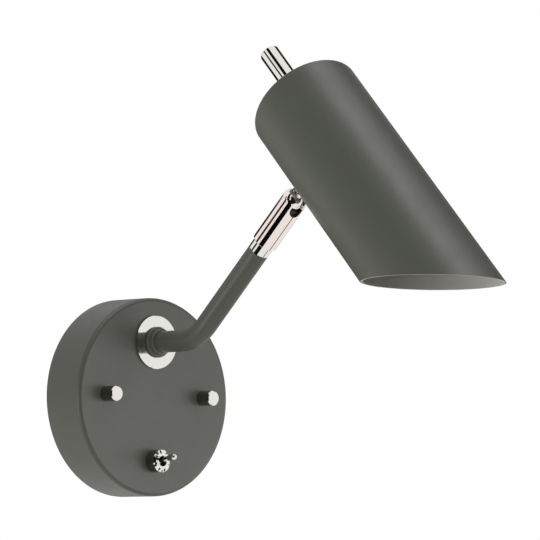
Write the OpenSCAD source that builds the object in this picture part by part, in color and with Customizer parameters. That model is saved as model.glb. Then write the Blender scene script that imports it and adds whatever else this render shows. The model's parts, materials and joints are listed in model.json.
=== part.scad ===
// Bedside wall reading lamp with a slotted ball swivel.
// The wall is the plane Y = 0, the lamp stands out of it along -Y, and Z is up.
// The origin lies on the wall, half way between the two cover studs.

/* [Cover] */
// Diameter of the round wall cover
canopy_d = 120; // [110:1:150]
// Depth of the cover from the wall to its face
canopy_depth = 30; // [28:0.5:40]
// Sheet thickness of the cover
canopy_wall = 1.5; // [1:0.1:2.5]
// Outer radius of the rounded front edge
canopy_edge = 2.5; // [2:0.1:5]
// How far the cover hangs below its studs in their clearance holes
canopy_drop = 0.5; // [0:0.05:0.8]
// Distance from the edge of the cover in to the swivel axis
swivel_inset = 26.9; // [24:0.05:30]
// Distance from the edge of the cover in to the switch axis
switch_inset = 21.2; // [19:0.1:24]
// Distance from the edge of the cover in to each stud axis
stud_inset = 21.05; // [19:0.1:22]

/* [Wall bracket] */
// Width of the bars of the cross-shaped bracket
bracket_w = 22; // [20:0.5:26]
// Thickness of the bracket
bracket_t = 2; // [1.5:0.1:3]
// How far the upper bar reaches past the terminal block
bar_past_block = 3; // [1:0.1:6]
// Depth of the lower bar's end below the studs
bracket_down = 23; // [22:0.5:25]
// Diameter of the hole for the supply cable
feed_hole_d = 16; // [12:0.5:17]
// Distance from each stud in to the wall screw's slot
slot_from_stud = 8.95; // [7.95:0.05:10.95]
// Width of the wall screw slots
wall_slot_w = 4.5; // [3.5:0.1:5]
// Length of the wall screw slots, end to end
wall_slot_l = 7; // [6:0.1:8]
// Diameter of the studs
stud_d = 4; // [3:0.1:5]
// Height of the studs' lock nuts
lock_nut_h = 3.2; // [2:0.1:4]
// Width across the flats of the studs' lock nuts
lock_nut_af = 7; // [6.5:0.1:8]

/* [Thumb nuts] */
// Diameter of a thumb nut
thumb_d = 9.2; // [8:0.1:12]
// Length of a thumb nut
thumb_l = 10.3; // [8:0.1:14]
// Depth of the threaded hole in a thumb nut
thumb_bore_l = 8; // [5:0.1:8.5]
// Bevel around the end of a thumb nut
thumb_bevel = 0.5; // [0.2:0.05:0.8]
// Distance from the end back to the turned groove
thumb_groove_in = 1.2; // [1:0.05:1.5]
// Width of the turned groove
thumb_groove_w = 0.3; // [0.2:0.05:0.5]
// Depth of the turned groove
thumb_groove_t = 0.25; // [0.1:0.05:0.4]

/* [Swivel at the cover] */
// Diameter of the polished disc
disc_d = 32.4; // [31.5:0.1:36]
// Thickness of the polished disc
disc_t = 1.6; // [1:0.1:2]
// Bevel around the polished disc
disc_bevel = 0.2; // [0.1:0.05:0.4]
// Outer diameter of the bush
bush_d = 12; // [11.6:0.1:12.4]
// Diameter of the bush's inner flange
bush_flange_d = 18; // [16:0.5:20]
// Thickness of the bush's inner flange
bush_flange_t = 1.5; // [1:0.1:2]
// Diameter of the threaded nipple
nipple_d = 10; // [9.6:0.1:10.1]
// Bore of the nipple, the ferrule and the ball seat
wire_bore_d = 6.4; // [5:0.1:7]
// How far the nipple reaches into the arm from the cover's face
nipple_grip = 16; // [10:0.5:20]
// Thickness of the friction washer
friction_t = 0.8; // [0.6:0.1:1]
// Thickness of the stop washer
stop_t = 1.2; // [1:0.1:1.5]
// Diameter of the stop washer
stop_washer_d = 21; // [19:0.5:23]
// Width of the stop washer's tab
stop_tab_w = 4; // [3:0.1:5]
// Distance of the stop pin from the swivel axis
stop_pin_at = 14; // [13.5:0.1:14.2]
// Diameter of the stop pin
stop_pin_d = 3; // [2:0.1:3.2]
// Height of each of the two clamp nuts
clamp_nut_h = 3; // [2.5:0.1:3.5]
// Width across the flats of the clamp nuts
clamp_nut_af = 14; // [13:0.5:17]

/* [Arm] */
// Outer diameter of the arm tube
tube_d = 13; // [12.8:0.1:14]
// Diameter of the lead inside the arm
lead_d = 3.4; // [2.4:0.1:3.6]
// Length of lead left free to bend under the ball
lead_slack = 1.5; // [1:0.1:3]
// Wall of the arm tube
tube_wall = 1.4; // [1.2:0.05:1.45]
// Straight run from the cover's face to the bend
root_l = 24.15; // [20:0.05:40]
// Radius of the bend along the tube's middle
bend_r = 30; // [20:0.5:60]
// How much the bend draws the tube in, on the radius
bend_draw = 0.02; // [0.01:0.01:0.1]
// Angle of the bend
bend_angle = 45; // [20:1:70]
// Straight run from the bend to the middle of the ball
reach_l = 99.4; // [70:0.5:160]
// Lean of the arm away from upright, as it is turned at rest
arm_lean = 3.4; // [0:0.01:10]
// Diameter of the collar's wide ring
collar_d = 18.7; // [17.5:0.1:22]
// Length of the collar's wide ring
collar_l = 2.2; // [2.1:0.1:5]
// Rounding on the front of the wide ring
collar_round = 1.1; // [0.5:0.1:1.3]
// Rounding of the wide ring where it meets the disc
collar_foot_round = 0.6; // [0.2:0.1:0.7]
// Diameter of the collar's narrow ring
collar_tip_d = 16.2; // [15.5:0.1:17]
// Length of the collar's narrow ring
collar_tip_l = 2.7; // [1.4:0.1:3]
// Rounding on the front of the narrow ring
collar_tip_round = 1.1; // [0.4:0.1:1.2]

/* [Ball swivel] */
// Outer diameter of the slotted socket
socket_d = 15.2; // [15:0.1:16]
// Length of the socket below the middle of the ball
socket_l = 33.15; // [31:0.05:45]
// Bevel around the socket's lower end
socket_bevel = 0.3; // [0.1:0.05:0.5]
// Diameter of the ball
ball_d = 11.6; // [11:0.1:11.8]
// Diameter of the round opening in the domed end
socket_mouth_d = 9.4; // [8.4:0.1:10]
// Width of the side slot
slot_w = 7.6; // [7:0.1:8]
// Distance from the middle of the ball down to the slot's bottom
slot_depth = 6.8; // [6.4:0.1:8]
// Turn of the slot about the arm's axis
slot_turn = 7.5; // [0:0.5:15]
// Length of the polished ferrule below the socket
ferrule_l = 6.3; // [4:0.1:10]
// Width of the shadow gap between the tube and the ferrule
shadow_gap = 0.3; // [0.1:0.05:0.6]
// Depth of the shadow gap
shadow_t = 0.4; // [0.2:0.05:0.8]
// How far the ferrule's spigot reaches into the tube
ferrule_grip = 12; // [6:0.5:20]
// How far the ferrule's thread reaches into the socket
ferrule_thread_l = 16; // [13:0.5:16.5]
// Distance from the middle of the ball down to the seat's rim
seat_drop = 3.6; // [3.4:0.1:4]
// Distance from the middle of the ball down to the seat's foot
seat_foot = 12; // [10:0.5:12.5]
// Thickness of a disc spring's sheet
spring_t = 0.5; // [0.3:0.05:0.6]

/* [Stem] */
// Diameter of the stem's neck
stem_d = 6.4; // [6.1:0.1:6.6]
// Diameter of the stem's thread
stem_thread_d = 6; // [5.5:0.1:6]
// Bore of the stem
stem_bore_d = 3.8; // [2.5:0.1:4]
// Distance from the middle of the ball to the shade's outer wall
stem_out = 10.8; // [10.4:0.05:14]
// Thickness of the washers at the shade's wall
saddle_t = 2; // [1.5:0.1:2.1]
// Diameter of the washers at the shade's wall
saddle_d = 10; // [9:0.1:12]
// Height of the stem's nut
stem_nut_h = 3; // [2:0.1:4]
// Width across the flats of the stem's nut
stem_nut_af = 10; // [9:0.1:11]
// How far the stem's thread passes its nut
stem_tail = 1.5; // [0.5:0.1:3]

/* [Shade] */
// Outer diameter of the shade
shade_d = 67.2; // [60:0.2:80]
// Wall of the shade
shade_wall = 1.2; // [1:0.05:2]
// Thickness of the shade's closed top
shade_top_t = 1.5; // [1:0.1:2.5]
// Rounding around the closed top
shade_edge = 1.6; // [1.5:0.1:4]
// Distance along the shade from its top to the stem
shade_stem_at = 37; // [30:0.5:50]
// Length of the shade along its middle
shade_mid_l = 157.5; // [140:0.5:200]
// Angle between the cut mouth and the shade's length
mouth_angle = 45; // [40:1:70]
// Diameter of the rod knob
knob_d = 12; // [9:0.1:16]
// Length of the rod knob
knob_l = 46.4; // [20:0.1:70]
// Rounding at the knob's free end
knob_round = 0.7; // [0.3:0.1:1.5]
// Diameter of the knob's screw
knob_screw_d = 4; // [3:0.1:5]
// Length of the knob's screw below its head
knob_screw_l = 14; // [8:0.5:16]

/* [Lamp and holder] */
// Width of the holder's bracket
strap_w = 14; // [12:0.5:18]
// Sheet thickness of the holder's bracket
strap_t = 1; // [0.8:0.1:1.5]
// Height of the holder's bracket
strap_h = 14.5; // [12:0.5:18]
// Length of the bracket's lower leg
strap_l = 25; // [24:0.5:28]
// Diameter of the lampholder
holder_d = 28; // [27:0.5:32]
// Height of the lampholder
holder_h = 22; // [20:0.5:26]
// Distance between the lampholder's two screws
holder_screw_spacing = 16; // [14:0.5:18]
// Diameter of the lampholder's screws
holder_screw_d = 3; // [2.5:0.1:3.5]
// Distance between the lamp's two pins
pin_spacing = 10; // [9:0.5:12]
// Diameter of the lamp's pins
pin_d = 5; // [4:0.1:5.5]
// Length of the lamp's pins
pin_l = 7; // [5:0.1:8]
// Diameter of the lamp
lamp_d = 50; // [45:0.5:52]
// Length of the lamp's body
lamp_l = 47; // [40:0.5:55]
// Diameter of the lamp's neck
lamp_neck_d = 27; // [24:0.5:30]
// Length of the lamp's neck
lamp_neck_l = 8; // [5:0.5:10]
// Length of the lamp's straight rim
lamp_rim_l = 12; // [8:0.5:16]
// Wall of the lamp around its lens
lamp_wall = 2; // [1:0.1:3]
// Thickness of the lamp's lens
lens_t = 1.5; // [1:0.1:2.5]

/* [Switch] */
// Width of the switch case
case_w = 13; // [11:0.5:16]
// Height of the switch case
case_h = 20; // [18:0.5:22]
// Depth of the switch case
case_depth = 12; // [10:0.5:13]
// Diameter of the switch's threaded neck
neck_d = 9; // [8.6:0.1:9.4]
// Bore of the switch's threaded neck
neck_bore_d = 6.1; // [6:0.1:6.4]
// Thickness of the switch's washer
switch_washer_t = 1; // [0.6:0.1:1.2]
// Height of the switch's hex nut
switch_nut_h = 3; // [2:0.1:3.2]
// Width across the flats of the switch's hex nut
switch_nut_af = 13; // [12:0.5:15]
// Outer diameter of the notched dress nut
dress_d = 13.6; // [13:0.1:16]
// Length of the dress nut
dress_l = 8; // [6.5:0.1:9]
// Diameter of the dress nut's front face
dress_face_d = 10.9; // [10.2:0.1:12.8]
// Length of the dress nut's bevelled rim
dress_bevel_l = 0.9; // [0.6:0.1:2.5]
// Diameter of the hole in the dress nut's face
dress_hole_d = 6.5; // [6.2:0.1:8]
// Thickness of the dress nut's face
dress_face_t = 1.2; // [0.5:0.1:1.3]
// Number of notches in the dress nut's rim
dress_notches = 8; // [4:1:12]
// Width of a notch
notch_w = 1.3; // [0.8:0.1:1.6]
// Depth of a notch
notch_t = 0.7; // [0.5:0.1:1]
// Length of a notch along the nut
notch_l = 1.1; // [0.6:0.1:1.4]
// Distance of the lever's pivot in front of the cover
pivot_out = 3; // [2.5:0.1:3.5]
// Diameter of the lever's pivot ball
pivot_d = 6; // [5.6:0.1:6]
// Distance from the pivot to the middle of the lever's tip
lever_l = 14.9; // [12:0.1:20]
// Diameter of the lever's round tip
lever_tip_d = 3.8; // [3:0.1:4.5]
// Diameter of the lever where it leaves the pivot
lever_root_d = 2.5; // [2:0.1:3]
// Length of the lever's tail inside the case
lever_tail_l = 10; // [9:0.1:12]
// Diameter of the lever's tail
lever_tail_d = 2; // [1.5:0.1:2.5]
// Tilt of the lever above level at rest
lever_tilt = 9.6; // [5:0.1:12]

/* [Terminals] */
// Room for the leads' bend, from the swivel axis down to the terminal block
lead_room = 6.6; // [6:0.1:8]
// Pitch of the terminal block's poles
pole_pitch = 8; // [7:0.5:9]
// Number of poles
poles = 3; // [2:1:3]
// Height of the terminal block
block_h = 13; // [12:0.5:14]
// Depth of the terminal block
block_depth = 12; // [10:0.5:13]
// Thickness of the web between the poles
block_web_t = 4; // [3:0.5:6]
// Diameter of the wire holes
wire_hole_d = 3; // [2:0.1:3.4]
// Diameter of the clamp screws
clamp_screw_d = 3; // [2:0.1:3.5]
// Depth of the clamp screws' holes
clamp_screw_l = 5; // [3:0.1:5.5]
// Diameter of the earth screw
earth_d = 4; // [3:0.1:4.5]
// Length of the earth screw below its head
earth_l = 4.8; // [4:0.1:6]
// Thickness of the earth tag
tag_t = 0.8; // [0.5:0.1:1]
// Outer diameter of the earth tag's ring
tag_d = 8; // [7:0.1:9]
// Diameter of the insulated leads to the switch
switch_lead_d = 1.8; // [1.4:0.1:2]
// Diameter of the two cores that go to the lamp
core_d = 1.4; // [1:0.1:1.5]
// Length of the earth tag's barrel
tag_barrel_l = 7; // [5:0.1:9]
// Diameter of the earth tag's barrel
tag_barrel_d = 3.2; // [2.6:0.1:4]

/* [Hidden] */
$fn = 96;

// Clearance of a running fit, on the radius
run_gap = 0.05;
// Clearance of a fit that does not move, on the radius
fit_gap = 0.05;
// Clearance between the lead and the bore it lies in
lead_gap = 0.3;
// Clearance of a hole that a screw passes through, on the radius
hole_gap = 0.1;
// Lap of a straight run into the drawn bend
bend_lap = 0.05;
// Steps along each curve of a lead, and sides of its section
lead_steps = 12;
lead_sides = 8;
// Overrun of every cut
overrun = 1;

// Paint, polished nickel and the hidden materials
paint = [0.36, 0.38, 0.35];
nickel = [0.86, 0.84, 0.80];
steel = [0.70, 0.71, 0.72];
brass = [0.80, 0.66, 0.36];
black = [0.10, 0.10, 0.10];
cream = [0.90, 0.88, 0.82];

canopy_r = canopy_d / 2;
canopy_z = -canopy_drop;
swivel_z = canopy_z + canopy_r - swivel_inset;
switch_z = canopy_z - canopy_r + switch_inset;
stud_x = canopy_r - stud_inset;
inner_face = canopy_depth - canopy_wall;
tube_bore_d = tube_d - 2 * tube_wall;

// Frames: each module moves its children to one place on the lamp.

// On the wall, with +Z standing out of it and +Y up
module on_wall() {
    rotate([90, 0, 0]) children();
}

// On the cover's face at the swivel axis
module at_swivel() {
    on_wall() translate([0, swivel_z, canopy_depth]) children();
}

// The same place, turned with the arm
module in_arm() {
    at_swivel() rotate([0, 0, -arm_lean]) children();
}

// Turns its children about the middle of the bend, from its start to its end
module around_bend() {
    in_arm()
        translate([0, bend_r, root_l])
        rotate([-bend_angle, 0, 0])
        translate([0, -bend_r, 0])
        children();
}

// At the middle of the ball, with +Z along the inclined tube and the slot towards -Y
module in_socket() {
    around_bend() translate([0, 0, reach_l]) children();
}

// At the shade's top, with +Z down the shade's middle and the stem towards -Y
module in_shade() {
    in_socket()
        translate([0, 0, stem_out + shade_d / 2])
        rotate([90, 0, 0])
        translate([0, 0, -shade_stem_at])
        children();
}

// At the switch, on the cover's face
module at_switch() {
    on_wall() translate([0, switch_z, canopy_depth]) children();
}

// Shapes used by several pieces

// Ring with a square section
module ring(d_out, d_in, h) {
    rotate_extrude() translate([d_in / 2, 0]) square([(d_out - d_in) / 2, h]);
}

// Solid of revolution whose upper rim is rounded
module round_topped(d, h, round_r) {
    rotate_extrude() {
        square([d / 2, h - round_r]);
        square([d / 2 - round_r, h]);
        translate([d / 2 - round_r, h - round_r]) intersection() {
            circle(round_r);
            square(round_r);
        }
    }
}

// Round ring with its front and its foot edge rounded
module bead(d, h, round_r, foot_r) {
    rotate_extrude() {
        translate([0, foot_r]) square([d / 2, h - round_r - foot_r]);
        square([d / 2 - foot_r, h - round_r]);
        square([d / 2 - round_r, h]);
        translate([d / 2 - round_r, h - round_r]) intersection() {
            circle(round_r);
            square(round_r);
        }
        translate([d / 2 - foot_r, foot_r]) rotate(-90) intersection() {
            circle(foot_r);
            square(foot_r);
        }
    }
}

// Hexagon nut with its bore
module hex_nut(af, h, bore_d) {
    difference() {
        cylinder(d = af / cos(30), h = h, $fn = 6);
        translate([0, 0, -overrun]) cylinder(d = bore_d, h = h + 2 * overrun);
    }
}

// Screw with a slotted flat head; the shank points down from Z = 0
module slotted_screw(d, l, head_share, slot_share) {
    head_r = d * head_share / 2;
    head_h = d * head_share / 3;
    slot = d * slot_share;
    difference() {
        union() {
            translate([0, 0, -l]) cylinder(d = d, h = l);
            cylinder(r = head_r, h = head_h);
        }
        translate([-head_r - overrun, -slot / 2, head_h / 2])
            cube([2 * (head_r + overrun), slot, head_h + overrun]);
    }
}

// Point at share t of a smooth curve between two ends and its two handles
function curve_at(p, t) =
    pow(1 - t, 3) * p[0] + 3 * pow(1 - t, 2) * t * p[1]
    + 3 * (1 - t) * pow(t, 2) * p[2] + pow(t, 3) * p[3];

// Points along a chain of such curves, each point once
function route(curves) = concat([curves[0][0]],
    [for (c = curves, i = [1 : lead_steps]) curve_at(c, i / lead_steps)]);

// Direction of the route at its point i
function heading(points, i) =
    let (step = points[min(i + 1, len(points) - 1)] - points[max(i - 1, 0)])
    step / norm(step);

// Insulated lead of diameter d along a route; side is a direction that no stretch runs in
module lead_along(points, d, side) {
    n = lead_sides;
    last = len(points) - 1;
    rings = [for (i = [0 : last])
        let (along = heading(points, i),
            across = cross(along, side) / norm(cross(along, side)),
            up = cross(across, along))
        for (k = [0 : n - 1])
            points[i] + d / 2 * (cos(360 * k / n) * across + sin(360 * k / n) * up)];
    skin = [for (i = [0 : last - 1], k = [0 : n - 1])
        let (a = i * n + k, b = i * n + (k + 1) % n)
        each [[a, a + n, b], [b, a + n, b + n]]];
    ends = [for (k = [1 : n - 2])
        each [[0, k, k + 1], [last * n, last * n + k + 1, last * n + k]]];
    polyhedron(points = rings, faces = concat(skin, ends));
}

// The two stud places
module at_studs() {
    for (side = [-1, 1]) on_wall() translate([side * stud_x, 0, 0]) children();
}

// Round cover: a shallow pressed cup with its open side on the wall
module canopy() {
    color(paint)
    on_wall() difference() {
        translate([0, canopy_z, 0]) difference() {
            round_topped(canopy_d, canopy_depth, canopy_edge);
            translate([0, 0, -overrun])
                round_topped(canopy_d - 2 * canopy_wall, inner_face + overrun,
                    canopy_edge - canopy_wall);
        }
        for (side = [-1, 1])
            translate([side * stud_x, canopy_z, inner_face - overrun])
                cylinder(r = stud_d / 2 + canopy_drop + fit_gap, h = canopy_wall + 2 * overrun);
        translate([0, swivel_z, inner_face - overrun])
            cylinder(r = bush_d / 2 + fit_gap, h = canopy_wall + 2 * overrun);
        translate([0, swivel_z - stop_pin_at, inner_face - overrun])
            cylinder(r = stop_pin_d / 2 + fit_gap, h = canopy_wall + 2 * overrun);
        translate([0, switch_z, inner_face - overrun])
            cylinder(r = neck_d / 2 + fit_gap, h = canopy_wall + 2 * overrun);
    }
}

// Places on the bracket that its other pieces share
block_y = swivel_z - lead_room - block_h / 2;
bracket_up = block_y + block_h / 2 + bar_past_block;
earth_y = -(feed_hole_d / 2 + bracket_down) / 2;

// Cross-shaped bracket that is screwed to the wall
module wall_bracket() {
    color(steel)
    on_wall() difference() {
        union() {
            translate([-stud_x, -bracket_w / 2, 0]) cube([2 * stud_x, bracket_w, bracket_t]);
            for (side = [-1, 1])
                translate([side * stud_x, 0, 0]) cylinder(d = bracket_w, h = bracket_t);
            translate([-bracket_w / 2, -bracket_down, 0])
                cube([bracket_w, bracket_down + bracket_up, bracket_t]);
        }
        translate([0, 0, -overrun]) {
            cylinder(d = feed_hole_d, h = bracket_t + 2 * overrun);
            translate([0, earth_y, 0])
                cylinder(r = earth_d / 2 + fit_gap, h = bracket_t + 2 * overrun);
            for (side = [-1, 1]) {
                translate([side * stud_x, 0, 0])
                    cylinder(r = stud_d / 2 + fit_gap, h = bracket_t + 2 * overrun);
                wall_slot(side);
            }
        }
    }
}

// One slot for a wall screw
module wall_slot(side) {
    straight = wall_slot_l - wall_slot_w;
    translate([side * (stud_x - slot_from_stud), 0, 0]) {
        translate([-straight / 2, -wall_slot_w / 2, 0])
            cube([straight, wall_slot_w, bracket_t + 2 * overrun]);
        for (end = [-1, 1])
            translate([end * straight / 2, 0, 0])
                cylinder(d = wall_slot_w, h = bracket_t + 2 * overrun);
    }
}

// Two studs that carry the cover
module bracket_studs() {
    color(steel)
    at_studs() cylinder(d = stud_d, h = canopy_depth + thumb_bore_l - fit_gap);
}

// Nuts that lock the studs to the bracket
module stud_lock_nuts() {
    color(steel)
    at_studs() translate([0, 0, bracket_t])
        hex_nut(lock_nut_af, lock_nut_h, stud_d + 2 * fit_gap);
}

// Polished nuts that hold the cover, each with a bevel and a turned groove
module thumb_nuts() {
    r = thumb_d / 2;
    groove = thumb_l - thumb_groove_in;
    color(nickel)
    at_studs() translate([0, 0, canopy_depth]) rotate_extrude() difference() {
        polygon([
            [0, 0], [r, 0],
            [r, groove - thumb_groove_w], [r - thumb_groove_t, groove - thumb_groove_w],
            [r - thumb_groove_t, groove], [r, groove],
            [r, thumb_l - thumb_bevel], [r - thumb_bevel, thumb_l], [0, thumb_l]
        ]);
        translate([-overrun, -overrun])
            square([overrun + stud_d / 2 + fit_gap, overrun + thumb_bore_l]);
    }
}

// Insulated block that joins the supply to the lamp's leads
module terminal_block() {
    color(cream)
    on_wall() translate([0, block_y, bracket_t]) difference() {
        union() {
            for (i = [0 : poles - 1]) translate([pole_x(i), 0, block_depth / 2])
                cube([pole_pitch * pole_share, block_h, block_depth], center = true);
            translate([-(poles - 1) * pole_pitch / 2, -block_h * web_share / 2, 0])
                cube([(poles - 1) * pole_pitch, block_h * web_share, block_web_t]);
        }
        for (i = [0 : poles - 1]) translate([pole_x(i), 0, 0]) {
            translate([0, 0, block_depth / 2]) rotate([90, 0, 0])
                cylinder(d = wire_hole_d, h = block_h + 2 * overrun, center = true);
            for (side = [-1, 1])
                translate([0, side * block_h * screw_share, block_depth / 2])
                    cylinder(r = clamp_screw_d / 2 + fit_gap, h = block_depth);
        }
    }
}

// Shares of the block's own size that lay out its poles
pole_share = 0.85;
web_share = 0.6;
screw_share = 0.27;

function pole_x(i) = (i - (poles - 1) / 2) * pole_pitch;

// Slotted screws that clamp the wires, two for each pole
module terminal_screws() {
    color(brass)
    on_wall() translate([0, block_y, bracket_t])
        for (i = [0 : poles - 1], side = [-1, 1])
            translate([pole_x(i), side * block_h * screw_share, block_depth - clamp_screw_d / 3])
                difference() {
                    translate([0, 0, -clamp_screw_l + clamp_screw_d / 3])
                        cylinder(d = clamp_screw_d, h = clamp_screw_l - clamp_screw_d / 3);
                    translate([-clamp_screw_d, -clamp_screw_d * driver_share / 2,
                        -clamp_screw_d / 3])
                        cube([2 * clamp_screw_d, clamp_screw_d * driver_share,
                            clamp_screw_d]);
                }
}

// Height of a lead of diameter d that lies in the block's wire holes
function hole_z(d) = bracket_t + (block_depth - wire_hole_d + d) / 2 + lead_gap;

// Two leads from the switch's blades to the terminal block; the second passes the first blade
module switch_leads() {
    eye_z = canopy_depth + case_back - blade_l + blade_w / 2;
    z_end = hole_z(switch_lead_d);
    y_end = block_y - block_h / 2 + clamp_screw_d / 2;
    near_y = switch_z + case_h * blade_share + blade_t / 2 + lead_gap;
    far_y = switch_z - case_h * blade_share + (blade_t + switch_lead_d) / 2 + lead_gap;
    color(black) on_wall() {
        lead_along(route([[
            [0, near_y, eye_z], [0, near_y / 2, eye_z],
            [-pole_pitch, earth_y / 2, z_end], [-pole_pitch, y_end, z_end]
        ]]), switch_lead_d, [0, 0, 1]);
        lead_along(route([[
            [0, far_y, eye_z], [bracket_w * bow_share, far_y + blade_w, eye_z],
            [0, earth_y / 2, z_end], [0, y_end, z_end]
        ]]), switch_lead_d, [0, 0, 1]);
    }
}

// Share of the bracket's width that the second lead's handle stands out sideways
bow_share = 0.64;

// Two cores from the nipple's mouth to the terminal block
module lamp_leads() {
    z_start = canopy_depth + clamp_back - lead_gap;
    z_end = hole_z(core_d);
    y_end = block_y + block_h / 2 - clamp_screw_d / 2;
    x_start = wire_bore_d / 8;
    color(black) on_wall() {
        lead_along(route([[
            [-x_start, swivel_z, z_start], [-x_start, swivel_z, (z_start + z_end) / 3],
            [0, swivel_z, z_end], [0, y_end, z_end]
        ]]), core_d, [1, 0, 0]);
        lead_along(route([[
            [x_start, swivel_z, z_start], [x_start, swivel_z, (z_start + z_end) / 3],
            [pole_pitch, swivel_z + core_d, z_end], [pole_pitch, y_end, z_end]
        ]]), core_d, [1, 0, 0]);
    }
}

// Shares of a screw's diameter: its driver slot and its head
driver_share = 0.25;
head_share = 1.9;

// Earth screw in the lower bar
module earth_screw() {
    color(brass)
    on_wall() translate([0, earth_y, bracket_t + tag_t])
        slotted_screw(earth_d, min(earth_l, bracket_t + tag_t), head_share, driver_share);
}

// Ring tag for the earth lead, with its crimped barrel
module earth_tag() {
    color(steel)
    on_wall() translate([0, earth_y, bracket_t]) difference() {
        union() {
            cylinder(d = tag_d, h = tag_t);
            translate([0, -tag_barrel_d / 2, 0])
                cube([tag_d / 2 + tag_t, tag_barrel_d, tag_t]);
            translate([tag_d / 2, 0, tag_barrel_d / 2]) rotate([0, 90, 0])
                cylinder(d = tag_barrel_d, h = tag_barrel_l);
        }
        translate([0, 0, -overrun])
            cylinder(r = earth_d / 2 + fit_gap, h = tag_t + 2 * overrun);
        translate([tag_d / 2 + tag_t, 0, tag_barrel_d / 2]) rotate([0, 90, 0])
            cylinder(d = tag_barrel_d * bore_share, h = tag_barrel_l);
    }
}

// Share of the tag barrel's diameter that is bored out
bore_share = 0.6;

// Depths behind the cover's face at the switch
washer_back = -canopy_wall - switch_washer_t;
nut_back = washer_back - switch_nut_h;
case_back = nut_back - case_depth;

// Moulded switch case with the rocker's well
module switch_case() {
    color(black)
    at_switch() difference() {
        translate([-case_w / 2, -case_h / 2, case_back]) cube([case_w, case_h, case_depth]);
        translate([-pivot_d / 2, -case_h * well_share / 2, case_back + case_depth * well_share])
            cube([pivot_d, case_h * well_share, case_depth]);
    }
}

// Share of the case that its well takes
well_share = 0.5;

// Threaded neck that holds the lever's pivot
module switch_neck() {
    top = dress_l - dress_face_t - fit_gap;
    color(steel)
    at_switch() rotate_extrude() difference() {
        translate([0, nut_back]) square([neck_d / 2, top - nut_back]);
        translate([-overrun, nut_back - overrun])
            square([neck_bore_d / 2 + overrun, top - nut_back + 2 * overrun]);
    }
}

// Two blades behind the case for the leads
module switch_blades() {
    color(brass)
    at_switch() for (side = [-1, 1])
        translate([-blade_w / 2, side * case_h * blade_share - blade_t / 2, case_back - blade_l])
            difference() {
                cube([blade_w, blade_t, blade_l]);
                translate([blade_w / 2, -overrun, blade_w / 2]) rotate([-90, 0, 0])
                    cylinder(d = blade_w * bore_share / 2, h = blade_t + 2 * overrun);
            }
}

blade_w = case_w / 3;
blade_t = tag_t;
blade_l = case_depth * well_share;
blade_share = 0.28;

// Nut and washer that hold the switch from behind
module switch_nut() {
    color(steel)
    at_switch() translate([0, 0, nut_back])
        hex_nut(switch_nut_af, switch_nut_h, neck_d + 2 * fit_gap);
}

module switch_washer() {
    color(steel)
    at_switch() translate([0, 0, washer_back])
        ring(switch_nut_af + 2 * switch_washer_t, neck_d + 2 * fit_gap, switch_washer_t);
}

// Polished nut around the lever, with notches in its bevelled rim
module dress_nut() {
    r = dress_d / 2;
    rim = dress_l - dress_bevel_l;
    color(nickel)
    at_switch() difference() {
        rotate_extrude() difference() {
            polygon([
                [0, 0], [r, 0], [r, rim], [dress_face_d / 2, dress_l], [0, dress_l]
            ]);
            translate([-overrun, -overrun])
                square([overrun + neck_d / 2 + fit_gap, overrun + dress_l - dress_face_t]);
            translate([-overrun, 0])
                square([overrun + dress_hole_d / 2, dress_l + overrun]);
        }
        for (i = [0 : dress_notches - 1])
            rotate([0, 0, (i + notch_share) * 360 / dress_notches])
                translate([dress_face_d / 2 - notch_t, -notch_w / 2, dress_l - notch_l])
                    cube([dress_d, notch_w, notch_l + overrun]);
    }
}

// Share of a notch's pitch by which the first notch is turned
notch_share = 0.37;

// Lever with its pivot ball, its waisted handle and its tail
module toggle_lever() {
    color(nickel)
    at_switch() translate([0, 0, pivot_out]) rotate([-lever_tilt, 0, 0]) {
        sphere(d = pivot_d);
        cylinder(d1 = lever_root_d, d2 = lever_tip_d, h = lever_l);
        translate([0, 0, lever_l]) sphere(d = lever_tip_d);
        translate([0, 0, -lever_tail_l]) cylinder(d = lever_tail_d, h = lever_tail_l);
    }
}

// Polished disc between the cover and the arm's collar
module swivel_disc() {
    r = disc_d / 2;
    color(nickel)
    at_swivel() rotate_extrude() difference() {
        polygon([
            [0, 0], [r, 0], [r, disc_t - disc_bevel], [r - disc_bevel, disc_t], [0, disc_t]
        ]);
        translate([-overrun, -overrun])
            square([overrun + bush_d / 2 + fit_gap, disc_t + 2 * overrun]);
    }
}

// Flanged bush that the nipple turns in
module swivel_bush() {
    bore = nipple_d + 2 * run_gap;
    color(cream)
    at_swivel() {
        translate([0, 0, -canopy_wall])
            ring(bush_d, bore, canopy_wall + disc_t - run_gap);
        translate([0, 0, -canopy_wall - bush_flange_t])
            ring(bush_flange_d, bore, bush_flange_t);
    }
}

// Depths behind the cover's face at the swivel
friction_back = -canopy_wall - bush_flange_t - run_gap - friction_t;
stop_back = friction_back - stop_t;
clamp_back = stop_back - 2 * clamp_nut_h;

// Pin that the stop washer's tab meets
module stop_pin() {
    color(steel)
    at_swivel() translate([0, -stop_pin_at, stop_back])
        cylinder(d = stop_pin_d, h = -stop_back - fit_gap);
}

module friction_washer() {
    color(cream)
    in_arm() translate([0, 0, friction_back])
        ring(bush_flange_d, nipple_d + 2 * fit_gap, friction_t);
}

// Washer with the tab that limits the arm's turn
module stop_washer() {
    color(steel)
    in_arm() translate([0, 0, stop_back]) difference() {
        union() {
            cylinder(d = stop_washer_d, h = stop_t);
            translate([-stop_tab_w / 2, 0, 0])
                cube([stop_tab_w, stop_pin_at + stop_pin_d / 2, stop_t]);
        }
        translate([0, 0, -overrun])
            cylinder(r = nipple_d / 2 + fit_gap, h = stop_t + 2 * overrun);
    }
}

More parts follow.
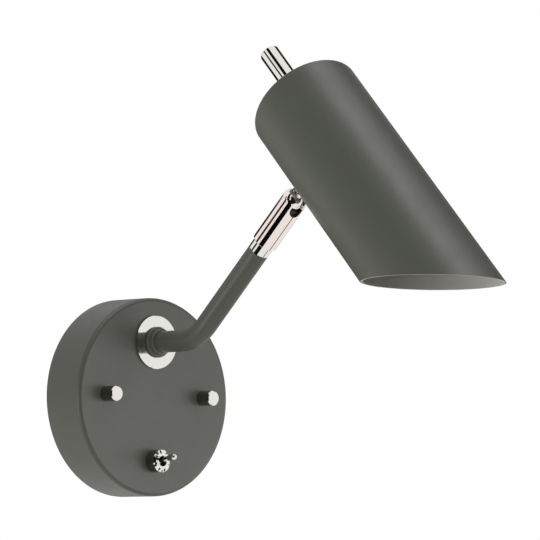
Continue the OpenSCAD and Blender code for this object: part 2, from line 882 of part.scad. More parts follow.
// Two nuts, one locking the other, that set how stiffly the arm turns
module clamp_nuts() {
    color(steel)
    in_arm() for (i = [1, 2]) translate([0, 0, stop_back - i * clamp_nut_h])
        rotate([0, 0, i * lock_turn])
            hex_nut(clamp_nut_af, clamp_nut_h, nipple_d + 2 * fit_gap);
}

// Turn from one clamp nut to the other, as their locking leaves them
lock_turn = 15;

// Hollow threaded nipple that joins the arm to its nuts
module arm_nipple() {
    color(steel)
    in_arm() translate([0, 0, clamp_back - clamp_nut_h / 2])
        ring(nipple_d, wire_bore_d, nipple_grip - clamp_back + clamp_nut_h / 2);
}

// Painted collar at the arm's root: a wide ring and a narrow one, both rounded
module arm_collar() {
    foot = disc_t + run_gap;
    color(paint)
    in_arm() difference() {
        union() {
            translate([0, 0, foot])
                bead(collar_d, collar_l, collar_round, collar_foot_round);
            translate([0, 0, foot])
                round_topped(collar_tip_d, collar_l + collar_tip_l, collar_tip_round);
        }
        translate([0, 0, foot - overrun])
            cylinder(r = tube_d / 2 + fit_gap, h = collar_l + collar_tip_l + 2 * overrun);
    }
}

// Round bar along the arm: straight from start, through the bend and straight for incline.
// The bend draws it in a hair, and low moves it towards the low side of the tube.
module arm_run(d, start, incline, low) {
    in_arm() translate([0, -low, start]) cylinder(d = d, h = root_l + bend_lap - start);
    in_arm() translate([0, bend_r, root_l]) rotate([90, 0, 0]) rotate([0, -90, 0])
        rotate_extrude(angle = bend_angle) translate([bend_r + low, 0])
            circle(d = d - 2 * bend_draw);
    around_bend() translate([0, -low, -bend_lap]) cylinder(d = d, h = incline + bend_lap);
}

// Arm tube: a straight root, one bend and a straight incline
module arm_tube() {
    foot = disc_t + run_gap;
    incline = reach_l - socket_l - ferrule_l - shadow_gap;
    color(paint) difference() {
        arm_run(tube_d, foot, incline, 0);
        arm_run(tube_bore_d, foot - overrun, incline + overrun, 0);
    }
}

// Two-core lead that lies along the low side of the arm, from the nipple to below the ball
module arm_lead() {
    color(cream)
    arm_run(lead_d, clamp_back, reach_l - ball_d / 2 - lead_slack,
        (wire_bore_d - lead_d) / 2 - lead_gap);
}

// Ferrule: polished band, shadow gap, and the two spigots that join tube and socket
module ferrule() {
    color(nickel)
    in_socket() translate([0, 0, -socket_l - ferrule_l]) rotate_extrude() difference() {
        union() {
            translate([0, -shadow_gap - ferrule_grip])
                square([tube_bore_d / 2 - fit_gap, ferrule_grip + shadow_gap]);
            translate([0, -shadow_gap]) square([tube_d / 2 - shadow_t, shadow_gap]);
            square([tube_d / 2, ferrule_l]);
            square([ball_d / 2, ferrule_l + ferrule_thread_l]);
        }
        translate([-overrun, -shadow_gap - ferrule_grip - overrun])
            square([overrun + wire_bore_d / 2,
                ferrule_grip + shadow_gap + ferrule_l + ferrule_thread_l + 2 * overrun]);
    }
}

// Slotted socket: a sleeve with a domed end, a round mouth and a side slot that lets
// the stem fold over; the dome and the hollow are spheres about the middle of the ball
module swivel_socket() {
    bore_r = ball_d / 2 + run_gap;
    r = socket_d / 2;
    color(nickel)
    in_socket() rotate([0, 0, -slot_turn]) difference() {
        union() {
            rotate_extrude() polygon([
                [0, -socket_l], [r - socket_bevel, -socket_l], [r, -socket_l + socket_bevel],
                [r, 0], [0, 0]
            ]);
            sphere(d = socket_d);
        }
        sphere(r = bore_r);
        translate([0, 0, -socket_l - overrun]) cylinder(r = bore_r, h = socket_l + overrun);
        cylinder(d = socket_mouth_d, h = socket_d);
        translate([0, 0, -slot_depth + slot_w / 2]) {
            rotate([90, 0, 0]) cylinder(d = slot_w, h = socket_d);
            translate([-slot_w / 2, -socket_d, 0]) cube([slot_w, socket_d, socket_d]);
        }
    }
}

// Seat that the ball rubs in
module ball_seat() {
    color(black)
    in_socket() difference() {
        translate([0, 0, -seat_foot]) cylinder(d = ball_d, h = seat_foot - seat_drop);
        sphere(r = ball_d / 2 + run_gap);
        translate([0, 0, -seat_foot - overrun]) cylinder(d = wire_bore_d, h = seat_foot);
    }
}

// Four coned springs, stacked in opposed pairs under the seat
module disc_springs() {
    stack = socket_l - ferrule_thread_l - seat_foot - run_gap;
    pitch = stack / spring_count;
    r_in = wire_bore_d / 2;
    r_out = ball_d / 2;
    color(steel)
    in_socket() translate([0, 0, -seat_foot - stack]) for (i = [0 : spring_count - 1])
        translate([0, 0, i * pitch]) rotate_extrude() polygon(
            i % 2 == 0
            ? [[r_in, 0], [r_out, pitch - spring_t], [r_out, pitch], [r_in, spring_t]]
            : [[r_in, pitch - spring_t], [r_out, 0], [r_out, spring_t], [r_in, pitch]]);
}

// Number of coned springs
spring_count = 4;

// Bored ball
module swivel_ball() {
    color(nickel)
    in_socket() difference() {
        sphere(d = ball_d);
        translate([0, 0, -ball_d]) cylinder(r = stem_d / 2 + run_gap, h = 2 * ball_d);
    }
}

// Levels along the stem, from the middle of the ball
saddle_foot = stem_out - saddle_t;
inner_wall_at = stem_out + shade_wall;
stem_nut_at = inner_wall_at + saddle_t;
stem_end = stem_nut_at + stem_nut_h + stem_tail;

// Hollow stem: a neck in the ball and a thread through the shade's wall
module ball_stem() {
    color(nickel)
    in_socket() rotate_extrude() difference() {
        union() {
            translate([0, -stem_d / 2]) square([stem_d / 2, stem_d / 2 + saddle_foot]);
            square([stem_thread_d / 2, stem_end]);
        }
        translate([-overrun, -stem_d])
            square([overrun + stem_bore_d / 2, stem_d + stem_end + overrun]);
    }
}

// Outer or inner face of the shade's wall, as a cylinder across the stem
module shade_round(d) {
    translate([0, 0, stem_out + shade_d / 2]) rotate([90, 0, 0])
        cylinder(d = d, h = 2 * saddle_d, center = true);
}

// Washer shaped to the outside of the shade
module saddle_washer() {
    color(nickel)
    in_socket() difference() {
        translate([0, 0, saddle_foot]) cylinder(d = saddle_d, h = 2 * saddle_t);
        shade_round(shade_d);
        translate([0, 0, saddle_foot - overrun])
            cylinder(r = stem_thread_d / 2 + fit_gap, h = 2 * (saddle_t + overrun));
    }
}

// Washer shaped to the inside of the shade
module inner_washer() {
    color(steel)
    in_socket() intersection() {
        translate([0, 0, inner_wall_at])
            ring(saddle_d, stem_thread_d + 2 * fit_gap, saddle_t);
        shade_round(shade_d - 2 * shade_wall);
    }
}

module stem_nut() {
    color(steel)
    in_socket() translate([0, 0, stem_nut_at])
        hex_nut(stem_nut_af, stem_nut_h, stem_thread_d + 2 * fit_gap);
}

// Shade: a closed tube with a rounded top edge and a slanted mouth
module shade() {
    long_l = shade_mid_l + shade_d;
    color(paint)
    in_shade() difference() {
        translate([0, 0, long_l]) rotate([180, 0, 0]) difference() {
            round_topped(shade_d, long_l, shade_edge);
            translate([0, 0, -overrun])
                round_topped(shade_d - 2 * shade_wall, long_l - shade_top_t + overrun,
                    shade_edge - shade_wall);
        }
        translate([0, 0, shade_mid_l]) rotate([90 - mouth_angle, 0, 0])
            translate([-shade_d, -2 * shade_d, 0]) cube([2 * shade_d, 4 * shade_d, 4 * shade_d]);
        translate([0, 0, shade_stem_at]) rotate([90, 0, 0])
            cylinder(r = stem_thread_d / 2 + hole_gap, h = shade_d);
        translate([0, 0, -overrun])
            cylinder(r = knob_screw_d / 2 + hole_gap, h = shade_top_t + 2 * overrun);
    }
}

// Rod knob that the shade is steered by
module knob() {
    color(nickel)
    in_shade() rotate([180, 0, 0]) difference() {
        round_topped(knob_d, knob_l, knob_round);
        translate([0, 0, -overrun])
            cylinder(r = knob_screw_d / 2 + fit_gap, h = knob_screw_l + overrun);
    }
}

// Screw from inside the shade that holds the knob and the holder's bracket
module knob_screw() {
    color(steel)
    in_shade() translate([0, 0, shade_top_t + strap_t])
        slotted_screw(knob_screw_d, knob_screw_l, head_share, driver_share);
}

// Depths down the shade: the bracket's lower leg, the holder and the lamp
strap_foot = shade_top_t + strap_h;
holder_end = strap_foot + holder_h;

// Folded bracket between the shade's top and the lampholder
module holder_strap() {
    color(steel)
    in_shade() difference() {
        translate([-strap_w / 2, 0, 0]) {
            translate([0, -strap_w / 2, shade_top_t])
                cube([strap_w, (strap_w + strap_l) / 2, strap_t]);
            translate([0, strap_l / 2 - strap_t, shade_top_t])
                cube([strap_w, strap_t, strap_h]);
            translate([0, -strap_l / 2, strap_foot - strap_t])
                cube([strap_w, strap_l, strap_t]);
        }
        translate([0, 0, shade_top_t - overrun])
            cylinder(r = knob_screw_d / 2 + hole_gap, h = strap_t + 2 * overrun);
        for (side = [-1, 1])
            translate([0, side * holder_screw_spacing / 2, strap_foot - strap_t - overrun])
                cylinder(r = holder_screw_d / 2 + hole_gap, h = strap_t + 2 * overrun);
    }
}

// Length of the lampholder's screws below their heads
holder_screw_l = holder_h / 3;

module holder_screws() {
    color(steel)
    in_shade() for (side = [-1, 1])
        translate([0, side * holder_screw_spacing / 2, strap_foot - strap_t]) rotate([180, 0, 0])
            slotted_screw(holder_screw_d, holder_screw_l, head_share, driver_share);
}

// Two cores from the stem's end up and over into the back of the lampholder
module holder_leads() {
    start_y = stem_end - stem_tail - stem_out - shade_d / 2;
    way_y = (start_y + stem_tail - holder_d / 2) / 2;
    way_z = (strap_foot + shade_stem_at) / 2;
    end_x = (strap_w + holder_d) / 4;
    color(black) in_shade() for (side = [-1, 1]) {
        way = [side * strap_w / 3, way_y, way_z];
        lead_along(route([
            [
                [side * core_d * apart_share, start_y, shade_stem_at],
                [side * core_d * apart_share, way_y, shade_stem_at],
                [way[0], way_y, shade_stem_at], way
            ],
            [
                way, [way[0], way_y, strap_foot / 2],
                [side * end_x, -holder_d / 4, strap_t],
                [side * end_x, -core_d, strap_foot - lead_gap]
            ]
        ]), core_d, [1, 0, 0]);
    }
}

// Share of a core's diameter from the stem's axis to the middle of each core
apart_share = 0.6;

// Porcelain lampholder with two keyed pin holes
module lampholder() {
    color(cream)
    in_shade() translate([0, 0, strap_foot]) difference() {
        translate([0, 0, holder_h]) rotate([180, 0, 0])
            round_topped(holder_d, holder_h, holder_screw_d / 2);
        for (side = [-1, 1]) {
            translate([0, side * holder_screw_spacing / 2, -overrun])
                cylinder(r = holder_screw_d / 2 + fit_gap, h = holder_screw_l + overrun);
            translate([side * pin_spacing / 2, 0, holder_h - pin_l - overrun])
                cylinder(r = pin_d / 2 + hole_gap, h = pin_l + 2 * overrun);
        }
    }
}

// Reflector lamp: neck, flared body, straight rim and two pins
module lamp() {
    flare_end = lamp_l - lamp_rim_l;
    r_neck = lamp_neck_d / 2;
    r = lamp_d / 2;
    color(cream)
    in_shade() translate([0, 0, holder_end]) {
        rotate_extrude() difference() {
            polygon([
                [0, 0], [r_neck, 0], [r_neck, lamp_neck_l],
                [r_neck + (r - r_neck) * flare_share, lamp_neck_l + (flare_end - lamp_neck_l) / 2],
                [r, flare_end], [r, lamp_l], [0, lamp_l]
            ]);
            translate([-overrun, lamp_l - 2 * lens_t])
                square([overrun + r - lamp_wall, 2 * lens_t + overrun]);
        }
        for (side = [-1, 1])
            translate([side * pin_spacing / 2, 0, -pin_l]) cylinder(d = pin_d, h = pin_l);
    }
}

// Share of the lamp's flare that is reached half way along it
flare_share = 0.62;

module lamp_lens() {
    color([0.95, 0.95, 0.9])
    in_shade() translate([0, 0, holder_end + lamp_l - 2 * lens_t])
        cylinder(r = lamp_d / 2 - lamp_wall - fit_gap, h = lens_t);
}

canopy();
wall_bracket();
bracket_studs();
stud_lock_nuts();
thumb_nuts();
terminal_block();
terminal_screws();
earth_screw();
earth_tag();
switch_case();
switch_neck();
switch_blades();
switch_nut();
switch_washer();
dress_nut();
toggle_lever();
swivel_disc();
swivel_bush();
stop_pin();
friction_washer();
stop_washer();
clamp_nuts();
arm_nipple();
arm_collar();
arm_tube();
switch_leads();
lamp_leads();
arm_lead();
ferrule();
swivel_socket();
ball_seat();
disc_springs();
swivel_ball();
ball_stem();
saddle_washer();
inner_washer();
stem_nut();
shade();
knob();
knob_screw();
holder_strap();
holder_screws();
holder_leads();
lampholder();
lamp();
lamp_lens();
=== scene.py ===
"""Looks of the bedside wall reading lamp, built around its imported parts."""

import json
import math
from types import SimpleNamespace

import bpy
from bpy.props import FloatProperty, FloatVectorProperty, PointerProperty
from mathutils import Matrix, Vector


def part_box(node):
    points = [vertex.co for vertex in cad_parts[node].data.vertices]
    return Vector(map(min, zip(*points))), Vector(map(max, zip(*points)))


bl_info = {
    "name": "Wall reading lamp",
    "version": (1, 0, 0),
    "blender": (4, 5, 0),
    "location": "3D View > Sidebar > Lamp",
    "description": "Dresses the wall reading lamp and sets its studio",
    "category": "Add Mesh",
}

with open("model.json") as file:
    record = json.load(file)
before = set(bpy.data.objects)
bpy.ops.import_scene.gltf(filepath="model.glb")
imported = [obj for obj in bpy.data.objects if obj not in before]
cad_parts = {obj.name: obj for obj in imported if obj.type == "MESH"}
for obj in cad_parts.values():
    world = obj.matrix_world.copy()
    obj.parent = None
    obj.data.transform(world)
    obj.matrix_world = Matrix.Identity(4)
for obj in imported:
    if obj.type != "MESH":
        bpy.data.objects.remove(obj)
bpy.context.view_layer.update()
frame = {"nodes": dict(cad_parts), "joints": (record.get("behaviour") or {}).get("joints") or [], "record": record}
NODES = frame["nodes"]
JOINTS = {joint["name"]: joint for joint in frame["joints"]}
MM = 0.001

# Side of the photograph in pixels, width of the camera's film in mm, and its clipping in metres
PHOTO_SIDE = 540
FILM_WIDTH = 36
CLIP_START, CLIP_END = 0.1, 40

# Outer radius and wall of the shade, and where its closed end lies along its middle line, counted
# from beside the stem towards the mouth
SHADE_R = 0.0336
SHADE_WALL = 0.0012
SHADE_TOP_AT = -0.0362

# Sprayed grain: the broad waves' count against the fine peel's, the peel's height against the
# waves', and the clouds of tone in a metre
WAVE_GRAINS = 0.12
PEEL_HEIGHT = 0.35
TONE_CLOUDS = 22.0

# Part of the cloud noise that shows as a handling mark, from none to full
MARK_RANGE = (0.42, 0.72)

# Depth of the relief in sprayed and moulded skins, in polished nickel, in a thread's turns and in
# the pebbles of the lamp's front
SKIN_DEPTH = 0.00002
POLISH_DEPTH = 0.000005
THREAD_DEPTH = 0.00012
PEBBLE_DEPTH = 0.0006

# Pitch of a thread, and pebbles in a metre of the lamp's front
THREAD_PITCH = 0.0008
PEBBLES_PER_METRE = 420.0

# The direction that the switch, the studs and the nuts are turned about, and how far the normal
# of a turned side leans to it at most
DEPTH_AXIS = (0, 1, 0)
SIDE_LEAN = 0.4

# Floor: half its side, its colour and roughness, and where it starts and ends to fade
FLOOR_REACH = 6.0
FLOOR_COLOUR = (0.88, 0.87, 0.85)
FLOOR_ROUGHNESS = 0.9
FLOOR_FADE = (1.3, 3.6)

# Lights and flags stand round this point, which is about the lamp's middle
LAMP_MIDDLE = Vector((0, -0.16, 0.07))

# Lights by name: azimuth and elevation in degrees, side in metres and power in watts. Glows light
# without being mirrored, and sheens are mirrored by the painted pieces alone
LIGHT_REACH = 2.2
GLOWS = {"behind": (-175, -12, 1.2, 34), "low_left": (-95, -25, 1.2, 5)}
SHEENS = {
    "front_right": (30, -10, 0.9, 17),
    "right": (60, -10, 0.9, 12),
    "overhead": (0, 75, 0.9, 11.5),
    "overhead_right": (63, 73, 1.2, 8.5),
    "left": (-100, -10, 0.9, 20),
}

# Flags by name: their azimuths and elevations from edge to edge, in degrees, and their colour
FLAG_REACH = 4.0
FLAG_STEPS = 8
FLAGS = {
    "flag_left": ((-104, -74), (-56, 2), (0.004, 0.004, 0.003)),
    "flag_left_upper": ((-111, -84), (2, 66), (0.004, 0.004, 0.003)),
    "flag_camera": ((-74, -4), (-34, 34), (0.012, 0.012, 0.011)),
    "flag_far_left": ((-133, -118), (-14, 29), (0.05, 0.034, 0.026)),
    "flag_behind": ((137, 192), (-16, 21), (0.012, 0.008, 0.007)),
    "flag_right": ((90, 118), (14, 58), (0.008, 0.008, 0.008)),
    "flag_low_right": ((58, 71), (-70, -40), (0.20, 0.16, 0.14)),
    "flag_right_wall": ((118, 136), (-16, 17), (0.36, 0.34, 0.32)),
}


# Settings


class LampFinish(bpy.types.PropertyGroup):
    """Colours and gloss of the lamp's finishes"""

    paint: FloatVectorProperty(
        name="Paint", description="Grey-green paint of the cover, arm and shade",
        subtype="COLOR", size=3, min=0, max=1, default=(0.080, 0.084, 0.069))
    paint_roughness: FloatProperty(
        name="Paint roughness", description="0 is wet gloss, 1 is chalk",
        subtype="FACTOR", min=0, max=1, default=0.40)
    paint_sheen: FloatProperty(
        name="Paint sheen", description="How strongly the satin paint mirrors; 0.5 is plain lacquer",
        subtype="FACTOR", min=0, max=1, default=0.25)
    lining: FloatVectorProperty(
        name="Shade lining", description="Pale paint inside the shade",
        subtype="COLOR", size=3, min=0, max=1, default=(0.42, 0.40, 0.37))
    nickel: FloatVectorProperty(
        name="Nickel", description="Mirror-polished nickel",
        subtype="COLOR", size=3, min=0, max=1, default=(0.78, 0.765, 0.72))
    nickel_warm: FloatVectorProperty(
        name="Warm nickel", description="The socket's slightly pinker nickel",
        subtype="COLOR", size=3, min=0, max=1, default=(0.83, 0.74, 0.70))
    # Painted shade: a darker nickel for the nuts' turned sides, in place of the shaded cover that they mirror
    nickel_painted_shade: FloatVectorProperty(
        name="Turned nickel", description="Darker nickel on the turned sides of the small nuts",
        subtype="COLOR", size=3, min=0, max=1, default=(0.38, 0.35, 0.32))
    nickel_roughness: FloatProperty(
        name="Nickel roughness", description="0 is a perfect mirror",
        subtype="FACTOR", min=0, max=1, default=0.04)


class LampStudio(bpy.types.PropertyGroup):
    """Camera, light and floor"""

    azimuth: FloatProperty(
        name="Azimuth", description="Camera's turn to the left of the lamp's front",
        subtype="ANGLE", default=math.radians(43.38))
    elevation: FloatProperty(
        name="Elevation", description="Camera's height over the horizon",
        subtype="ANGLE", default=math.radians(-4.448))
    roll: FloatProperty(
        name="Roll", description="Camera's roll", subtype="ANGLE", default=math.radians(0.457))
    distance: FloatProperty(
        name="Distance", description="From the camera's plane to the middle of the wall cover",
        subtype="DISTANCE", unit="LENGTH", default=2.4)
    scale: FloatProperty(
        name="Scale", description="Pixels of the picture for each millimetre at the wall cover",
        default=1.64)
    cover_right: FloatProperty(
        name="Cover across", description="Pixel column of the cover's middle at the wall",
        default=121.96)
    cover_down: FloatProperty(
        name="Cover down", description="Pixel row of the cover's middle at the wall",
        default=398.37)
    floor_drop: FloatProperty(
        name="Floor drop", description="Floor below the middle of the wall cover",
        subtype="DISTANCE", unit="LENGTH", default=1.3)
    fill: FloatProperty(
        name="Fill", description="Strength of the even light from all sides", default=0.78)


def finish_settings():
    return bpy.context.scene.lamp_finish


def studio_settings():
    return bpy.context.scene.lamp_studio


# The shade's middle line


def knob_middle():
    points = [vertex.co for vertex in NODES["knob"].data.vertices]
    return sum(points, Vector()) / len(points)


def shade_line():
    """A point in the shade's middle beside the stem, and the direction from there to the mouth."""
    stem = Vector(JOINTS["head_spin"]["axis"]).normalized()
    middle = Vector(JOINTS["head_spin"]["pos_m"]) + stem * SHADE_R
    to_knob = knob_middle() - middle
    to_knob -= stem * to_knob.dot(stem)
    return middle, -to_knob.normalized()


SHADE_LINE = shade_line()


# Shader helpers


def add_node(tree, kind, **values):
    """Adds a node and sets its attributes or, by name, its input sockets."""
    node = tree.nodes.new(kind)
    for name, value in values.items():
        if hasattr(node, name):
            setattr(node, name, value)
        else:
            node.inputs[name.replace("_", " ")].default_value = value
    return node


def wire(tree, *pairs):
    for start, end in pairs:
        tree.links.new(start, end)


def node_group(name, inputs, outputs, fill):
    """Shader group with named number or colour inputs; fill(tree, start, end) wires it."""
    if name in bpy.data.node_groups:
        return bpy.data.node_groups[name]
    tree = bpy.data.node_groups.new(name, "ShaderNodeTree")
    for label, value in inputs.items():
        plain = isinstance(value, (int, float))
        kind = "NodeSocketFloat" if plain else "NodeSocketColor"
        socket = tree.interface.new_socket(label, in_out="INPUT", socket_type=kind)
        socket.default_value = value if plain else (*value, 1)
    for label, kind in outputs.items():
        tree.interface.new_socket(label, in_out="OUTPUT", socket_type="NodeSocket" + kind)
    start, end = tree.nodes.new("NodeGroupInput"), tree.nodes.new("NodeGroupOutput")
    fill(tree, start.outputs, end.inputs)
    return tree


def place_group(tree, group, **values):
    """Places a group with its own values, named as its inputs are."""
    node = add_node(tree, "ShaderNodeGroup", node_tree=group)
    for name, value in values.items():
        node.inputs[name.replace("_", " ").capitalize()].default_value = value
    return node


def math_node(tree, operation, *values):
    """One sum; each value is a socket or a number."""
    node = add_node(tree, "ShaderNodeMath", operation=operation)
    for side, value in zip(node.inputs, values):
        if isinstance(value, (int, float)):
            side.default_value = value
        else:
            tree.links.new(value, side)
    return node.outputs[0]


def dot_node(tree, source, direction):
    """How far a vector reaches along a direction."""
    node = add_node(tree, "ShaderNodeVectorMath", operation="DOT_PRODUCT")
    node.inputs[1].default_value = direction
    tree.links.new(source, node.inputs[0])
    return node.outputs["Value"]


def mix_colours(tree, factor, first, second):
    """Colour between two others; the Mix node's colour sockets share their names with its others."""
    mix = add_node(tree, "ShaderNodeMix", data_type="RGBA")
    one, two = [socket for socket in mix.inputs if socket.type == "RGBA"]
    wire(tree, (factor, mix.inputs[0]), (first, one), (second, two))
    return next(socket for socket in mix.outputs if socket.type == "RGBA")


def noise(tree, scale, detail, roughness=0.5):
    """Noise over the object's own metres, so that its grain keeps its real size."""
    place = add_node(tree, "ShaderNodeTexCoord")
    node = add_node(tree, "ShaderNodeTexNoise", Detail=detail, Roughness=roughness)
    tree.links.new(place.outputs["Object"], node.inputs["Vector"])
    if isinstance(scale, (int, float)):
        node.inputs["Scale"].default_value = scale
    else:
        tree.links.new(scale, node.inputs["Scale"])
    return node.outputs["Fac"]


# Node groups


def fill_grain(tree, start, end):
    """A fine orange peel over broad waves, and a faint change of tone about 1."""
    peel = noise(tree, start["Grains per metre"], detail=3)
    waves = noise(tree, math_node(tree, "MULTIPLY", start["Grains per metre"], WAVE_GRAINS),
                  detail=1)
    height = math_node(tree, "ADD", math_node(tree, "MULTIPLY", peel, PEEL_HEIGHT), waves)
    clouds = noise(tree, TONE_CLOUDS, detail=4, roughness=0.6)
    spread = math_node(tree, "MULTIPLY", math_node(tree, "SUBTRACT", clouds, 0.5), start["Spread"])
    wire(tree, (height, end["Height"]), (math_node(tree, "ADD", spread, 1.0), end["Tone"]))


def grain_group():
    return node_group("Sprayed grain", {"Grains per metre": 1400.0, "Spread": 0.12},
                      {"Height": "Float", "Tone": "Float"}, fill_grain)


def fill_handling(tree, start, end):
    """Roughness of a handled surface: a base value with faint cloudy marks."""
    clouds = noise(tree, start["Marks per metre"], detail=5, roughness=0.65)
    marks = add_node(tree, "ShaderNodeMapRange", From_Min=MARK_RANGE[0], From_Max=MARK_RANGE[1])
    wire(tree, (clouds, marks.inputs["Value"]))
    rougher = math_node(tree, "MULTIPLY", marks.outputs["Result"], start["Depth"])
    wire(tree, (math_node(tree, "ADD", start["Base"], rougher), end["Roughness"]))


def handling_group():
    return node_group("Handling marks", {"Base": 0.3, "Depth": 0.08, "Marks per metre": 60.0},
                      {"Roughness": "Float"}, fill_handling)


def fill_tint(tree, start, end):
    """Colour whose brightness follows the tone."""
    toned = add_node(tree, "ShaderNodeVectorMath", operation="SCALE")
    wire(tree, (start["Colour"], toned.inputs[0]), (start["Tone"], toned.inputs["Scale"]),
         (toned.outputs[0], end["Colour"]))


def tint_group():
    return node_group("Toned colour", {"Colour": (0.5, 0.5, 0.5), "Tone": 1.0},
                      {"Colour": "Color"}, fill_tint)


def fill_inside(tree, start, end):
    """1 on the inner side of the shade's wall below its closed end, 0 elsewhere."""
    point, direction = SHADE_LINE
    place = add_node(tree, "ShaderNodeTexCoord")
    from_point = add_node(tree, "ShaderNodeVectorMath", operation="SUBTRACT")
    from_point.inputs[1].default_value = point
    wire(tree, (place.outputs["Object"], from_point.inputs[0]))
    along = dot_node(tree, from_point.outputs[0], direction)
    foot = add_node(tree, "ShaderNodeVectorMath", operation="SCALE")
    foot.inputs[0].default_value = direction
    off = add_node(tree, "ShaderNodeVectorMath", operation="SUBTRACT")
    length = add_node(tree, "ShaderNodeVectorMath", operation="LENGTH")
    wire(tree, (along, foot.inputs["Scale"]), (from_point.outputs[0], off.inputs[0]),
         (foot.outputs[0], off.inputs[1]), (off.outputs[0], length.inputs[0]))
    inner = math_node(tree, "LESS_THAN", length.outputs["Value"], SHADE_R - SHADE_WALL / 2)
    below_top = math_node(tree, "GREATER_THAN", along, SHADE_TOP_AT)
    wire(tree, (math_node(tree, "MULTIPLY", inner, below_top), end["Inside"]))


def inside_group():
    return node_group("Inside of the shade", {}, {"Inside": "Float"}, fill_inside)


def fill_turned(tree, start, end):
    """1 on the sides of a piece that is turned about the depth axis, 0 on its ends."""
    place = add_node(tree, "ShaderNodeTexCoord")
    lean = math_node(tree, "ABSOLUTE", dot_node(tree, place.outputs["Normal"], DEPTH_AXIS))
    wire(tree, (math_node(tree, "LESS_THAN", lean, SIDE_LEAN), end["Side"]))


def turned_group():
    return node_group("Turned sides", {}, {"Side": "Float"}, fill_turned)


def fill_thread(tree, start, end):
    """Rings about the depth axis, as a thread's turns look."""
    place = add_node(tree, "ShaderNodeTexCoord")
    along = dot_node(tree, place.outputs["Object"], DEPTH_AXIS)
    turns = math_node(tree, "MULTIPLY", along, start["Turns per metre"])
    wave = math_node(tree, "SINE", math_node(tree, "MULTIPLY", turns, 2 * math.pi))
    wire(tree, (wave, end["Height"]))


def thread_group():
    return node_group("Thread", {"Turns per metre": 1000.0}, {"Height": "Float"}, fill_thread)


# Surfaces that the finishes share


def new_material(name):
    """A material, its node tree and the Principled shader in it."""
    material = bpy.data.materials.new(name)
    material.use_nodes = True
    return material, material.node_tree, material.node_tree.nodes["Principled BSDF"]


def grained(name, colour, roughness, relief, grains=1400.0, spread=0.12, metallic=0.0,
            marks=0.06, depth=SKIN_DEPTH):
    """Surface with sprayed or moulded grain, toned colour and handling marks."""
    material, tree, shader = new_material(name)
    grain = place_group(tree, grain_group(), grains_per_metre=grains, spread=spread)
    tint = place_group(tree, tint_group(), colour=(*colour, 1))
    handled = place_group(tree, handling_group(), base=roughness, depth=marks)
    bump = add_node(tree, "ShaderNodeBump", Strength=relief, Distance=depth)
    wire(tree, (grain.outputs["Tone"], tint.inputs["Tone"]),
         (tint.outputs["Colour"], shader.inputs["Base Color"]),
         (handled.outputs["Roughness"], shader.inputs["Roughness"]),
         (grain.outputs["Height"], bump.inputs["Height"]),
         (bump.outputs["Normal"], shader.inputs["Normal"]))
    shader.inputs["Metallic"].default_value = metallic
    return SimpleNamespace(material=material, tree=tree, shader=shader, grain=grain, tint=tint,
                           bump=bump)


def press(surface, height, strength, depth, invert=False):
    """Presses a coarser relief into a surface, over its own grain."""
    pressed = add_node(surface.tree, "ShaderNodeBump", Strength=strength, Distance=depth,
                       invert=invert)
    wire(surface.tree, (height, pressed.inputs["Height"]),
         (surface.bump.outputs["Normal"], pressed.inputs["Normal"]),
         (pressed.outputs["Normal"], surface.shader.inputs["Normal"]))


def second_colour(surface, mask, colour):
    """Gives a surface another colour where a mask is 1, and returns that colour's group."""
    other = place_group(surface.tree, tint_group(), colour=(*colour, 1))
    mixed = mix_colours(surface.tree, mask, surface.tint.outputs["Colour"],
                        other.outputs["Colour"])
    wire(surface.tree, (mixed, surface.shader.inputs["Base Color"]))
    return other


def painted(name):
    """Grey-green sprayed paint with a soft sheen."""
    look = finish_settings()
    surface = grained(name, look.paint, look.paint_roughness, relief=0.35, spread=0.10)
    surface.shader.inputs["Specular IOR Level"].default_value = look.paint_sheen
    return surface


def polished(name, colour):
    """Mirror-polished nickel with a faint haze."""
    return grained(name, colour, finish_settings().nickel_roughness, relief=0.05, grains=700.0,
                   spread=0.04, metallic=1.0, marks=0.03, depth=POLISH_DEPTH)


def plated(name, colour):
    """Plated metal of the threaded pieces."""
    return grained(name, colour, roughness=0.3, relief=0.3, grains=900.0, spread=0.3,
                   metallic=1.0, marks=0.12)


def threaded(name, colour):
    """Plated metal with a thread cut about the depth axis."""
    surface = plated(name, colour)
    thread = place_group(surface.tree, thread_group(), turns_per_metre=1 / THREAD_PITCH)
    press(surface, thread.outputs["Height"], strength=0.9, depth=THREAD_DEPTH)
    return surface


# Finishes

STEEL = (0.52, 0.53, 0.54)
# Brass darkened almost to black, painted shade for the switch's neck deep in the dress nut's hole
HOLE_SHADE_BRASS = (0.07, 0.06, 0.045)


def satin_paint():
    return painted("satin_paint").material


def shade_paint():
    """The same paint outside and a pale lining inside the shade's wall."""
    surface = painted("shade_paint")
    inside = place_group(surface.tree, inside_group())
    lining = second_colour(surface, inside.outputs["Inside"], finish_settings().lining)
    wire(surface.tree, (surface.grain.outputs["Tone"], lining.inputs["Tone"]))
    return surface.material


def polished_nickel():
    return polished("polished_nickel", finish_settings().nickel).material


def warm_nickel():
    """The socket's slightly pinker nickel."""
    return polished("warm_nickel", finish_settings().nickel_warm).material


def shaded_side_nickel():
    """Nickel nuts with polished ends, and turned sides darkened as painted shade for the shaded cover that they
    mirror.
    """
    look = finish_settings()
    surface = polished("shaded_side_nickel", look.nickel)
    turned = place_group(surface.tree, turned_group())
    # Painted shade: the turned sides take a darker nickel in place of the dark reflection of the cover
    second_colour(surface, turned.outputs["Side"], look.nickel_painted_shade)
    return surface.material


def zinc_steel():
    return grained("zinc_steel", STEEL, roughness=0.32, relief=0.3, grains=900.0, spread=0.35,
                   metallic=1.0, marks=0.15).material


def plated_steel():
    """The knob's screw."""
    return plated("plated_steel", STEEL).material


def wall_thread():
    """The studs and the arm's nipple."""
    return threaded("wall_thread", STEEL).material


